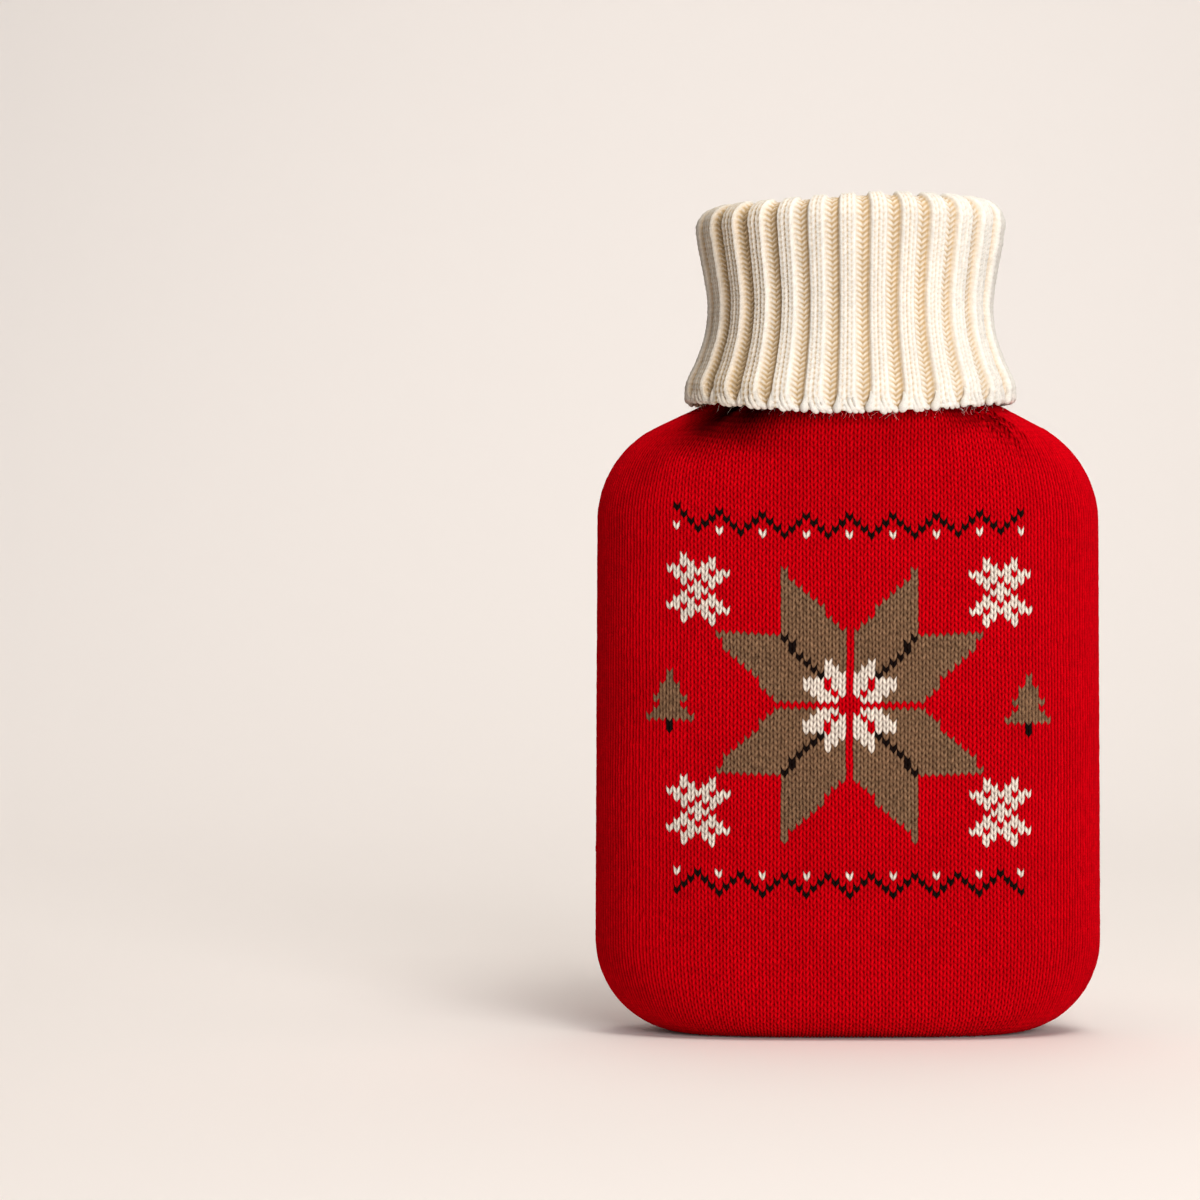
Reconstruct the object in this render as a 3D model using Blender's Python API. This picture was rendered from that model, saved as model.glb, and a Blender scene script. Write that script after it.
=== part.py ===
"""Knitted cover for a two-litre hot water bottle, standing upright and held open, in metres, +Z up.

A front and a back panel of plain knitting meet down the sides and under the base. A roll neck of two-by-two
rib goes up from their neck edge, folds over, and hangs outside as a waisted collar. The front faces -Y, +X
is to the right of the front view, and the origin is the middle of the underside.
"""

import bmesh
import bpy
import numpy as np

# Driving dimensions of the body, over the outside of the knitting
BODY_HALF_WIDTH = 0.1070
SHOULDER_HALF_WIDTH = 0.1062
BASE_HALF_WIDTH = 0.0670
BASE_HALF_DEPTH = 0.0210
BASE_EDGE_RADIUS = 0.0130
UNDERSIDE_SEAM_SHARE = 0.90
SWELL = 0.0025
SQUARENESS = 3.0
BASE_SQUARENESS = 3.3
NECK_SQUARENESS = 2.1
CROWN = 2.3
NECK_CROWN = 2.0
CORNER_RADIUS = 0.0400
SHOULDER_RADIUS = 0.0450
SHOULDER_HEIGHT = 0.2152
SHOULDER_SLOPE = np.radians(26.0)
NECK_BEND_RADIUS = 0.0080
NECK_HALF_WIDTH = 0.0550
NECK_LEAN = 0.0014
LEAN_START = 0.2450
CLOTH = 0.0030
SEAM_GAP = 0.0003

# Driving dimensions of the roll neck
FOLD_TOP = 0.3487
FOLD_RADIUS = 0.0019
HEM_RISE = 0.0032
HEM_RISE_TOP = 0.3070
HEM_ROUNDING = 0.0012
RIB_CLOTH = 0.0020
RIB_RELIEF = 0.0026
RIB_COUNT = 26
RIB_OFFSET = -0.355
FOLD_FLATTENING = 0.40

# The two layers of the roll neck, each at the middle of its cloth: the inner one between its seam and the
# fold, and the outer one from below the fold down to the hem
FOLD_HALF_WIDTH = 0.0618
FOLD_HALF_DEPTH = 0.0426
LAYER_COLUMNS = [("height", "f8"), ("half_width", "f8"), ("half_depth", "f8")]
INNER_LAYER = np.array(
    [(0.2900, 0.0532, 0.0345), (0.3070, 0.0530, 0.0370), (0.3250, 0.0554, 0.0384)],
    dtype=LAYER_COLUMNS,
)
OUTER_LAYER = np.array(
    [(0.3330, 0.0611, 0.0422), (0.3200, 0.0586, 0.0415), (0.3070, 0.0569, 0.0410), (0.2935, 0.0583, 0.0416),
     (0.2810, 0.0622, 0.0432), (0.2700, 0.0664, 0.0444), (0.2630, 0.0662, 0.0444)],
    dtype=LAYER_COLUMNS,
)

# One rib, from valley to valley: the place across it, in ribs from its middle, and its share of the relief
RIB_SHAPE = np.array(
    [(-0.33, 0.0), (-0.22, 1.0), (0.22, 1.0), (0.33, 0.0)],
    dtype=[("place", "f8"), ("relief", "f8")],
)

# Gathers where the panels are drawn in under the roll neck. place runs from -1 at the left seam to 1 at the
# right seam, spread is in the same measure, depth is how far the cloth dips, and reach is how far down the
# gather runs. It is at its full depth over GATHER_FULL_SHARE of its reach, next to the neck edge.
GATHER_FULL_SHARE = 0.3
GATHER_COLUMNS = [("place", "f8"), ("spread", "f8"), ("depth", "f8"), ("reach", "f8")]
FRONT_GATHERS = np.array(
    [(-0.70, 0.080, 0.0034, 0.036), (-0.45, 0.070, 0.0014, 0.026), (-0.22, 0.070, 0.0014, 0.042),
     (0.48, 0.065, 0.0014, 0.026), (0.68, 0.060, 0.0024, 0.028), (0.86, 0.055, 0.0022, 0.024)],
    dtype=GATHER_COLUMNS,
)
BACK_GATHERS = np.array(
    [(-0.74, 0.070, 0.0026, 0.030), (-0.30, 0.070, 0.0014, 0.034), (0.34, 0.070, 0.0014, 0.028),
     (0.72, 0.075, 0.0030, 0.034)],
    dtype=GATHER_COLUMNS,
)

# Yarn
RED = (0.42, 0.002, 0.004)
CREAM = (0.86, 0.78, 0.66)
YARN_ROUGHNESS = 0.92

# Fineness of the solids: rows in each stretch of a panel, columns across it, and rows round the fold
UNDERSIDE_ROWS = 2
CORNER_ROWS = 7
SIDE_ROWS = 9
SHOULDER_ROWS = 6
SLOPE_ROWS = 3
BEND_ROWS = 3
PANEL_COLUMNS = 30
FOLD_ROWS = 4
CURVE_SAMPLES = 721
SHARP_EDGE = np.radians(50.0)


def smoothstep(low, high, value):
    """0 below low, 1 above high, and an even S-curve between."""
    t = np.clip((value - low) / (high - low), 0.0, 1.0)
    return t * t * (3.0 - 2.0 * t)


def lean(height):
    """How far the cloth leans to the right at a height: nothing on the body, all of it at the neck."""
    return NECK_LEAN * smoothstep(LEAN_START, NECK_HEIGHT, height)


def body_outline():
    """Half-width and height of each row of a panel, from the rim of the underside up to the neck edge.

    The stretches are the base corner's arc, the straight side, the shoulder's arc, its slope, and the bend
    up into the neck. Each stretch but the last leaves out its last row, which the next one starts with.
    """
    corner = np.linspace(0.0, np.pi / 2, CORNER_ROWS + 1)[:-1]
    side = np.linspace(0.0, 1.0, SIDE_ROWS + 1)[:-1]
    shoulder_end = np.pi / 2 - SHOULDER_SLOPE
    shoulder = np.linspace(0.0, shoulder_end, SHOULDER_ROWS + 1)[:-1]
    slope_low = SHOULDER_HALF_WIDTH - SHOULDER_RADIUS * (1.0 - np.cos(shoulder_end))
    slope_high = NECK_HALF_WIDTH + NECK_BEND_RADIUS * (1.0 - np.sin(SHOULDER_SLOPE))
    slope = np.linspace(slope_low, slope_high, SLOPE_ROWS + 1)[:-1]
    slope_foot = SHOULDER_HEIGHT + SHOULDER_RADIUS * np.sin(shoulder_end)
    bend_foot = slope_foot + (slope_low - slope_high) * np.tan(SHOULDER_SLOPE)
    bend = np.linspace(SHOULDER_SLOPE, np.pi / 2, BEND_ROWS + 1)
    half_width = np.concatenate([
        BASE_HALF_WIDTH + CORNER_RADIUS * np.sin(corner),
        BODY_HALF_WIDTH + (SHOULDER_HALF_WIDTH - BODY_HALF_WIDTH) * side,
        SHOULDER_HALF_WIDTH - SHOULDER_RADIUS * (1.0 - np.cos(shoulder)),
        slope,
        NECK_HALF_WIDTH + NECK_BEND_RADIUS * (1.0 - np.sin(bend)),
    ])
    height = np.concatenate([
        CORNER_RADIUS * (1.0 - np.cos(corner)),
        CORNER_RADIUS + (SHOULDER_HEIGHT - CORNER_RADIUS) * side,
        SHOULDER_HEIGHT + SHOULDER_RADIUS * np.sin(shoulder),
        slope_foot + (slope_low - slope) * np.tan(SHOULDER_SLOPE),
        bend_foot + NECK_BEND_RADIUS * (np.cos(SHOULDER_SLOPE) - np.cos(bend)),
    ])
    return half_width, height


OUTLINE_WIDTHS, OUTLINE_HEIGHTS = body_outline()
NECK_HEIGHT = OUTLINE_HEIGHTS[-1]


def body_half_depth(height):
    """A quarter circle at the edge of the base, then a shallow swell that is fullest half-way up."""
    above_floor = BASE_EDGE_RADIUS - np.minimum(height, BASE_EDGE_RADIUS)
    rise = np.clip((height - BASE_EDGE_RADIUS) / (NECK_HEIGHT - BASE_EDGE_RADIUS), 0.0, 1.0)
    edge = np.sqrt(BASE_EDGE_RADIUS**2 - above_floor**2)
    return BASE_HALF_DEPTH + edge + SWELL * np.sin(np.pi * rise)


def half_section(half_width, half_depth, squareness, crown, places):
    """Points of |x/w|^squareness + |y/d|^crown = 1 at even steps of length, from left seam to right seam."""
    angle = np.linspace(0.0, np.pi, CURVE_SAMPLES)
    x = -half_width * np.sign(np.cos(angle)) * np.abs(np.cos(angle)) ** (2.0 / squareness)
    y = half_depth * np.abs(np.sin(angle)) ** (2.0 / crown)
    length = np.concatenate([[0.0], np.cumsum(np.hypot(np.diff(x), np.diff(y)))])
    wanted = (places + 1.0) / 2.0 * length[-1]
    return np.interp(wanted, length, x), np.interp(wanted, length, y)


def panel_outside(gathers):
    """Rows of points over the outside of one panel, with y as the distance from the seams' plane.

    The first rows cross the flat underside from its seam to its rim, and the others are sections of the
    body, whose corners grow rounder towards the neck. Each gather is a soft dip down from the neck edge.
    """
    places = np.linspace(-1.0, 1.0, PANEL_COLUMNS + 1)
    rows = []
    for width, height in zip(OUTLINE_WIDTHS, OUTLINE_HEIGHTS):
        to_neck = smoothstep(SHOULDER_HEIGHT, NECK_HEIGHT, height)
        to_base = 1.0 - smoothstep(0.0, CORNER_RADIUS, height)
        squareness = SQUARENESS + (BASE_SQUARENESS - SQUARENESS) * to_base
        squareness += (NECK_SQUARENESS - SQUARENESS) * to_neck
        crown = CROWN + (NECK_CROWN - CROWN) * to_neck
        x, y = half_section(width, body_half_depth(height), squareness, crown, places)
        dip = np.zeros_like(x)
        for gather in gathers:
            full = NECK_HEIGHT - GATHER_FULL_SHARE * gather["reach"]
            fade = smoothstep(NECK_HEIGHT - gather["reach"], full, height)
            dip += gather["depth"] * fade * np.exp(-(((places - gather["place"]) / gather["spread"]) ** 2))
        along = np.stack([np.gradient(x), np.gradient(y)])
        along /= np.hypot(*along)
        x, y = x + along[1] * dip + lean(height), y - along[0] * dip
        rows.append(np.column_stack([x, y, np.full_like(x, height)]))
    rim = rows[0]
    seam = rim * [UNDERSIDE_SEAM_SHARE, 0.0, 1.0]
    underside = [seam + (rim - seam) * row / UNDERSIDE_ROWS for row in range(UNDERSIDE_ROWS)]
    return np.array(underside + rows)


def panel_rings(gathers):
    """Closed rings round the cloth of a panel: across its outside, then back across its inside."""
    outside = panel_outside(gathers)
    normals = np.cross(np.gradient(outside, axis=0), np.gradient(outside, axis=1))
    normals[:, [0, -1], 1] = 0.0
    normals[-1, :, 2] = 0.0
    normals[:UNDERSIDE_ROWS] = [0.0, 0.0, -1.0]
    normals /= np.linalg.norm(normals, axis=2)[:, :, None]
    inside = outside - CLOTH * normals
    return np.concatenate([outside, inside[:, ::-1]], axis=1)


def oval_ring(half_width, half_depth, shares):
    """Points and outward normals of an ellipse at shares of its length, from the front middle towards +X."""
    angle = np.linspace(-np.pi / 2, 3 * np.pi / 2, CURVE_SAMPLES)
    x, y = half_width * np.cos(angle), half_depth * np.sin(angle)
    length = np.concatenate([[0.0], np.cumsum(np.hypot(np.diff(x), np.diff(y)))])
    at = np.interp((shares % 1.0) * length[-1], length, angle)
    points = np.stack([half_width * np.cos(at), half_depth * np.sin(at)], axis=1)
    normals = np.stack([half_depth * np.cos(at), half_width * np.sin(at)], axis=1)
    return points, normals / np.linalg.norm(normals, axis=1)[:, None]


def roll_neck_profile():
    """Rows along the middle of the roll neck's cloth, from its seam up to the fold and down to the hem.

    Each row has its height, half-width and half-depth, and the outward and upward parts of the direction in
    which its visible face looks: into the opening on the inner layer, up on the fold, and out below it.
    """
    turn = np.linspace(0.0, np.pi, FOLD_ROWS + 1)
    fold_foot = FOLD_TOP - RIB_RELIEF * (1.0 - FOLD_FLATTENING) - RIB_CLOTH / 2 - FOLD_RADIUS
    fold_inward = FOLD_RADIUS * (1.0 + np.cos(turn))
    seam_depth = BASE_HALF_DEPTH + BASE_EDGE_RADIUS
    rows = [(NECK_HEIGHT + SEAM_GAP, NECK_HALF_WIDTH - CLOTH / 2, seam_depth - CLOTH / 2, -1.0, 0.0)]
    rows += [(*row, -1.0, 0.0) for row in INNER_LAYER.tolist()]
    rows += list(zip(fold_foot + FOLD_RADIUS * np.sin(turn), FOLD_HALF_WIDTH - fold_inward,
                     FOLD_HALF_DEPTH - fold_inward, -np.cos(turn), np.sin(turn)))
    rows += [(*row, 1.0, 0.0) for row in OUTER_LAYER.tolist()]
    return rows


def roll_neck_rings():
    """Closed rings round the roll neck: over its ribbed face, round the hem, and back up its hidden face."""
    ribs = np.arange(RIB_COUNT)[:, None] + RIB_OFFSET + RIB_SHAPE["place"]
    shares = ribs.ravel() / RIB_COUNT
    relief = np.tile(RIB_SHAPE["relief"], RIB_COUNT) * RIB_RELIEF
    profile = roll_neck_profile()
    hem_height = profile[-1][0]
    visible, hidden = [], []
    for height, half_width, half_depth, outward, upward in profile:
        points, normals = oval_ring(half_width, half_depth, shares)
        to_hem = max(outward, 0.0) * (1.0 - smoothstep(hem_height, HEM_RISE_TOP, height))
        level = height + HEM_RISE * to_hem * (2.0 * (points[:, 0] / half_width) ** 2 - 1.0)
        raised = RIB_CLOTH / 2 + relief * (1.0 - FOLD_FLATTENING * upward)
        for face, offset in ((visible, raised), (hidden, np.full_like(relief, -RIB_CLOTH / 2))):
            ring = points + normals * (outward * offset)[:, None]
            ring_height = level + upward * offset
            face.append(np.column_stack([ring[:, 0] + lean(height), ring[:, 1], ring_height]))
    hem = (visible[-1] + hidden[-1]) / 2.0 - [0.0, 0.0, HEM_ROUNDING]
    return np.array(visible + [hem] + hidden[::-1])


def loft(name, rings, material, closed):
    """A closed body through a stack of rings. The last ring joins the first, or each end gets a cap."""
    count, size = rings.shape[:2]
    mesh = bmesh.new()
    corners = [[mesh.verts.new(point) for point in ring] for ring in rings]
    for row in range(count if closed else count - 1):
        low, high = corners[row], corners[(row + 1) % count]
        for column in range(size):
            after = (column + 1) % size
            mesh.faces.new((low[column], low[after], high[after], high[column]))
    for ring in () if closed else (corners[0], corners[-1]):
        for column in range(size // 2 - 1):
            back = size - 1 - column
            mesh.faces.new((ring[column], ring[column + 1], ring[back - 1], ring[back]))
    bmesh.ops.recalc_face_normals(mesh, faces=mesh.faces)
    data = bpy.data.meshes.new(name)
    mesh.to_mesh(data)
    mesh.free()
    data.materials.append(material)
    data.shade_smooth()
    data.set_sharp_from_angle(angle=SHARP_EDGE)
    return bpy.data.objects.new(name, data)


def yarn(name, colour, roughness):
    """Wool-like yarn of one colour."""
    material = bpy.data.materials.new(name)
    material.use_nodes = True
    shader = material.node_tree.nodes["Principled BSDF"]
    shader.inputs["Base Color"].default_value = (*colour, 1.0)
    shader.inputs["Roughness"].default_value = roughness
    shader.inputs["Metallic"].default_value = 0.0
    return material


def panel(name, gathers, side, material):
    """One panel, on the side of the seams' plane that side gives, half the seam's gap away from it."""
    rings = panel_rings(gathers)
    rings[:, :, 1] = side * (rings[:, :, 1] + SEAM_GAP / 2)
    return loft(name, rings, material, closed=False)


for leftover in list(bpy.data.objects):
    bpy.data.objects.remove(leftover, do_unlink=True)

cover = bpy.data.collections.new("hot_water_bottle_cover")
bpy.context.scene.collection.children.link(cover)
red_front = yarn("red_yarn_front", RED, YARN_ROUGHNESS)
red_back = yarn("red_yarn_back", RED, YARN_ROUGHNESS)
cream = yarn("cream_yarn", CREAM, YARN_ROUGHNESS)
cover.objects.link(panel("front_panel", FRONT_GATHERS, -1.0, red_front))
cover.objects.link(panel("back_panel", BACK_GATHERS, 1.0, red_back))
cover.objects.link(loft("roll_neck", roll_neck_rings(), cream, closed=True))
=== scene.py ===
import bpy
import numpy as np
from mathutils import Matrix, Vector


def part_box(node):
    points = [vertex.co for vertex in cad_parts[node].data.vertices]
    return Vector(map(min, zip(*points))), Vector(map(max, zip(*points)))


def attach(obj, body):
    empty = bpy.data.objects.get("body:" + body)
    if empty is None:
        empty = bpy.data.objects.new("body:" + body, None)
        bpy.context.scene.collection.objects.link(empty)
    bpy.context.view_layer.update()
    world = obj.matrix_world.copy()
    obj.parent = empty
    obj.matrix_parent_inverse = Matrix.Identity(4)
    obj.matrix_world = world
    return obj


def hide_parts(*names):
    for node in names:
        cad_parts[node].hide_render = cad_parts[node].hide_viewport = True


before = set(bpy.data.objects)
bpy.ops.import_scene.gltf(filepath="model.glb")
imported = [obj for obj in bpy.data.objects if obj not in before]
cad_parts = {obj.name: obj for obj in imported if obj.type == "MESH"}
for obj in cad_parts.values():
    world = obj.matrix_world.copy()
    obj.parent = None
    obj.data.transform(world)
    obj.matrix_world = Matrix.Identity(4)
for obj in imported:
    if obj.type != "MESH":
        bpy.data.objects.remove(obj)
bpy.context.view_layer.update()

# ------------------------------------------------------------------------------------------------------------
# Front panel. The front half of the bag, knitted flat in red stocking stitch, with a star, snowflakes, trees
# and zigzags worked in with other yarns. It runs from the seam under the base, over the front, to the neck
# edge, where it is drawn in with small gathers.
# ------------------------------------------------------------------------------------------------------------
# The body over its knitting: its outline, how square its sections are at their sides, and how round their
# fronts are, on the body, at the base and at the neck. CROWDINGS are those that the wales may have
PANEL_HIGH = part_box("front_panel")[1]
BODY_HALF_WIDTH = PANEL_HIGH[0]
NECK_HEIGHT = PANEL_HIGH[2]
SHOULDER_HALF_WIDTH = 0.1062
BASE_HALF_WIDTH = 0.0670
BASE_HALF_DEPTH = 0.0210
BASE_EDGE_RADIUS = 0.0130
UNDERSIDE_SEAM_SHARE = 0.90
SWELL = 0.0025
SQUARENESS, BASE_SQUARENESS, NECK_SQUARENESS = 3.0, 3.3, 2.1
CROWN, NECK_CROWN = 2.3, 2.0
CORNER_RADIUS = 0.0400
SHOULDER_RADIUS = 0.0450
SHOULDER_HEIGHT = 0.2152
SHOULDER_SLOPE = np.radians(26.0)
NECK_BEND_RADIUS = 0.0080
NECK_HALF_WIDTH = 0.0550
NECK_LEAN, LEAN_START = 0.0014, 0.2450
UNDERSIDE_ROWS = 12
SECTION_SAMPLES = 1201
CROWDINGS = np.linspace(0.02, 3.0, 300)

# The knitting: stitches across and up a panel, the grid of points for each, how far a leg leans in courses,
# how deep its relief is, and how many rows the lean takes to fade out at the edges
WALES = 82
COURSES = 120
COLUMNS_PER_WALE = 4
ROWS_PER_COURSE = 2
LEG_LEAN = 0.80
STITCH_RELIEF = 0.00120
EDGE_ROWS = 4.0
SEAM_GROOVE = 0.0007

# The wall behind it: its thickness, one point for so many columns or rows of the outside, and its hollow,
# the painted shade of its plain inside
PANEL_THICKNESS = 0.0024
COARSE = 4
INSIDE_HOLLOW = 0.8

# How uneven the hand of the knitter is: single stitches, and waves of the wales with the share, the rows and
# the columns of each wave
STITCH_UNEVENNESS = 0.00011
WALE_WANDER = 0.00028
WANDER_WAVES = ((1.0, 26, 22), (0.6, 7, 6))

# One stitch: how deep each of its four vertex columns lies, at its lower edge, at its middle, and near the
# seams, where stitches are pulled long, run into each other and grow even. SIDE_START and SIDE_END are shares
# of the way from the panel's middle to a seam. A stitch's hollow, painted shade in its yarn, is its depth to
# the power HOLLOW_FALL
STITCH = np.array(
    [(1.00, 0.66, 0.86), (0.40, 0.00, 0.10), (1.00, 0.60, 0.80), (0.40, 0.00, 0.10)],
    dtype=[("edge", "f8"), ("middle", "f8"), ("side", "f8")],
)
SIDE_START, SIDE_END, SIDE_CALM, SIDE_EVENNESS = 0.42, 0.88, 0.96, 0.6
HOLLOW_FALL = 0.7

# How far the courses keep level over the front, from 0 where each wale shares them out over its own length
LEVEL_COURSES = 0.8

# Gathers under the roll neck: place from -1 at the left seam to 1 at the right seam, how far it drifts to
# the right on its way down and its spread in the same measure, depth of the dip (below 0 for a ridge), how
# far down from the neck edge it reaches, and its gloom, the share of light that is lost between its folds,
# painted into the yarn's colour as shade.
# A gather is full over GATHER_FULL_SHARE of its reach, gives back GATHER_RELEASE of its depth in the last
# RELEASE_HEIGHT, and fades out from SEAM_HOLD to the seam. Its gloom follows the dip to the power GLOOM_FALL
GATHER_COLUMNS = [
    ("place", "f8"), ("drift", "f8"), ("spread", "f8"), ("depth", "f8"), ("reach", "f8"), ("gloom", "f8")]
GATHER_FULL_SHARE, GATHER_RELEASE, RELEASE_HEIGHT = 0.3, 0.6, 0.005
SEAM_HOLD = 0.84
GLOOM_FALL = 0.65
FRONT_GATHERS = np.array(
    [(-0.86, 0.30, 0.140, 0.0120, 0.036, 0.98), (-0.60, 0.18, 0.160, 0.0070, 0.033, 0.94),
     (-0.28, 0.00, 0.140, 0.0014, 0.022, 0.45), (-0.78, 0.00, 0.050, 0.0020, 0.048, 0.40),
     (0.54, 0.00, 0.070, 0.0050, 0.022, 0.50), (0.46, 0.00, 0.020, 0.0010, 0.028, 0.20),
     (0.585, 0.00, 0.016, 0.0026, 0.034, 0.45), (0.645, 0.00, 0.016, 0.0032, 0.040, 0.55),
     (0.705, 0.00, 0.015, 0.0028, 0.034, 0.45), (0.615, 0.00, 0.014, -0.0010, 0.034, 0.00),
     (0.675, 0.00, 0.014, -0.0012, 0.032, 0.00), (0.90, 0.00, 0.025, -0.0012, 0.026, 0.00),
     (-0.10, 0.00, 0.020, 0.0007, 0.018, 0.10), (0.14, 0.00, 0.024, 0.0008, 0.020, 0.15),
     (0.34, 0.00, 0.020, 0.0008, 0.018, 0.15)],
    dtype=GATHER_COLUMNS,
)

# Yarn colours, with the strength of their heather as the fourth number
RED = (0.620, 0.0005, 0.0052, 0.10)
TAUPE = (0.225, 0.128, 0.070, 1.00)
OFF_WHITE = (0.860, 0.765, 0.650, 0.15)
BLACK = (0.0080, 0.0062, 0.0052, 0.20)


def smoothstep(low, high, value):
    """0 below low, 1 above high, and an even S-curve between."""
    t = np.clip((value - low) / (high - low), 0.0, 1.0)
    return t * t * (3.0 - 2.0 * t)


def lean(height):
    """How far the cloth leans to the right: nothing on the body, all of it at the neck."""
    return NECK_LEAN * smoothstep(LEAN_START, NECK_HEIGHT, height)


def body_outline(steps=26):
    """Half-width and height up one side of the body, from the underside's rim to the neck edge.

    It joins a quarter circle at the base corner, a straight side, the shoulder's arc, a straight slope, and
    the arc that bends up into the neck.
    """
    share = np.linspace(0.0, 1.0, steps, endpoint=False)
    corner = share * np.pi / 2
    shoulder_end = np.pi / 2 - SHOULDER_SLOPE
    shoulder = share * shoulder_end
    slope_low = SHOULDER_HALF_WIDTH - SHOULDER_RADIUS * (1.0 - np.cos(shoulder_end))
    slope_high = NECK_HALF_WIDTH + NECK_BEND_RADIUS * (1.0 - np.sin(SHOULDER_SLOPE))
    slope_foot = SHOULDER_HEIGHT + SHOULDER_RADIUS * np.sin(shoulder_end)
    bend_foot = slope_foot + (slope_low - slope_high) * np.tan(SHOULDER_SLOPE)
    bend = np.linspace(SHOULDER_SLOPE, np.pi / 2, steps)
    half_width = np.concatenate([
        BASE_HALF_WIDTH + CORNER_RADIUS * np.sin(corner),
        BODY_HALF_WIDTH + (SHOULDER_HALF_WIDTH - BODY_HALF_WIDTH) * share,
        SHOULDER_HALF_WIDTH - SHOULDER_RADIUS * (1.0 - np.cos(shoulder)),
        slope_low + (slope_high - slope_low) * share,
        NECK_HALF_WIDTH + NECK_BEND_RADIUS * (1.0 - np.sin(bend)),
    ])
    height = np.concatenate([
        CORNER_RADIUS * (1.0 - np.cos(corner)),
        CORNER_RADIUS + (SHOULDER_HEIGHT - CORNER_RADIUS) * share,
        SHOULDER_HEIGHT + SHOULDER_RADIUS * np.sin(shoulder),
        slope_foot + (bend_foot - slope_foot) * share,
        bend_foot + NECK_BEND_RADIUS * (np.cos(SHOULDER_SLOPE) - np.cos(bend)),
    ])
    return half_width, height


def body_half_depth(height):
    """A quarter circle at the edge of the base, then a shallow swell that is fullest half-way up."""
    above_floor = BASE_EDGE_RADIUS - np.minimum(height, BASE_EDGE_RADIUS)
    rise = np.clip((height - BASE_EDGE_RADIUS) / (NECK_HEIGHT - BASE_EDGE_RADIUS), 0.0, 1.0)
    return BASE_HALF_DEPTH + np.sqrt(BASE_EDGE_RADIUS**2 - above_floor**2) + SWELL * np.sin(np.pi * rise)


def panel_sheet(gathers, across, up):
    """Points of a panel's outside, with y as the distance from the seams' plane, and the gloom there.

    across is each column's share of the wales, and up each point's share of its own column. A section of the
    body is |x/w|^n + |y/d|^m = 1. Where it is narrower, the wales in the middle keep their width and the
    others crowd towards the seams: a wale at share s of the way to a seam lies at tanh(c * s) / tanh(c). A
    gather moves its points inwards by its depth times a bell curve. The columns then run up through the
    sections by a length between their own and the middle one's.
    """
    half_width, height = (values[:, None] for values in body_outline())
    to_neck = smoothstep(SHOULDER_HEIGHT, NECK_HEIGHT, height)
    to_base = 1.0 - smoothstep(0.0, CORNER_RADIUS, height)
    squareness = SQUARENESS + (BASE_SQUARENESS - SQUARENESS) * to_base
    squareness = squareness + (NECK_SQUARENESS - SQUARENESS) * to_neck
    crown = CROWN + (NECK_CROWN - CROWN) * to_neck
    angle = np.linspace(0.0, np.pi, SECTION_SAMPLES)
    x = -half_width * np.sign(np.cos(angle)) * np.abs(np.cos(angle)) ** (2.0 / squareness)
    y = body_half_depth(height) * np.abs(np.sin(angle)) ** (2.0 / crown)
    step = np.hypot(np.diff(x, axis=1), np.diff(y, axis=1))
    length = np.concatenate([np.zeros_like(height), np.cumsum(step, axis=1)], axis=1)

    narrowing = length[:, -1:].max() / length[:, -1:]
    crowding = np.interp(narrowing, CROWDINGS / np.tanh(CROWDINGS), CROWDINGS)
    place = np.tanh(crowding * (2.0 * across - 1.0)) / np.tanh(crowding)
    wanted = (place + 1.0) / 2.0 * length[:, -1:]
    x = np.array([np.interp(w, l, v) for w, l, v in zip(wanted, length, x)])
    y = np.array([np.interp(w, l, v) for w, l, v in zip(wanted, length, y)])

    dip, gloom = np.zeros_like(x), np.zeros_like(x)
    held = 1.0 - smoothstep(SEAM_HOLD, 1.0, np.abs(place))
    release_foot = NECK_HEIGHT - RELEASE_HEIGHT
    for gather in gathers:
        full = NECK_HEIGHT - GATHER_FULL_SHARE * gather["reach"]
        fade = smoothstep(NECK_HEIGHT - gather["reach"], full, height)
        fade = fade * (1.0 - GATHER_RELEASE * smoothstep(release_foot, NECK_HEIGHT, height))
        centre = gather["place"] + gather["drift"] * (NECK_HEIGHT - height) / gather["reach"]
        here = fade * held * np.exp(-(((place - centre) / gather["spread"]) ** 2))
        dip += gather["depth"] * here
        gloom = np.maximum(gloom, gather["gloom"] * here**GLOOM_FALL)
    along = np.stack([np.gradient(x, axis=1), np.gradient(y, axis=1)])
    along /= np.hypot(*along)
    sections = np.stack([x + along[1] * dip + lean(height), y - along[0] * dip, height + 0.0 * x], axis=2)
    underside = sections[:1] * [1.0, 0.0, 1.0]
    underside[:, :, 0] *= UNDERSIDE_SEAM_SHARE
    rows = np.linspace(0.0, 1.0, UNDERSIDE_ROWS, endpoint=False)[:, None, None]
    sections = np.concatenate([underside + rows * (sections[:1] - underside), sections])

    step = np.linalg.norm(np.diff(sections, axis=0), axis=2)
    length = np.concatenate([np.zeros((1, step.shape[1])), np.cumsum(step, axis=0)])
    middle = length[:, length.shape[1] // 2, None]
    length += LEVEL_COURSES * (middle - length)
    gloom = np.concatenate([np.zeros((len(rows), gloom.shape[1])), gloom])
    values = np.concatenate([sections, gloom[:, :, None]], axis=2)
    columns = [
        np.stack([np.interp(u * l[-1], l, value) for value in column.T], axis=1)
        for u, l, column in zip(up.T, length.T, values.transpose(1, 0, 2))
    ]
    grid = np.stack(columns, axis=1)
    return grid[:, :, :3], grid[:, :, 3]


def unit(vectors):
    """The same directions, each of length 1."""
    return vectors / np.maximum(np.linalg.norm(vectors, axis=-1, keepdims=True), 1e-12)


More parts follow.
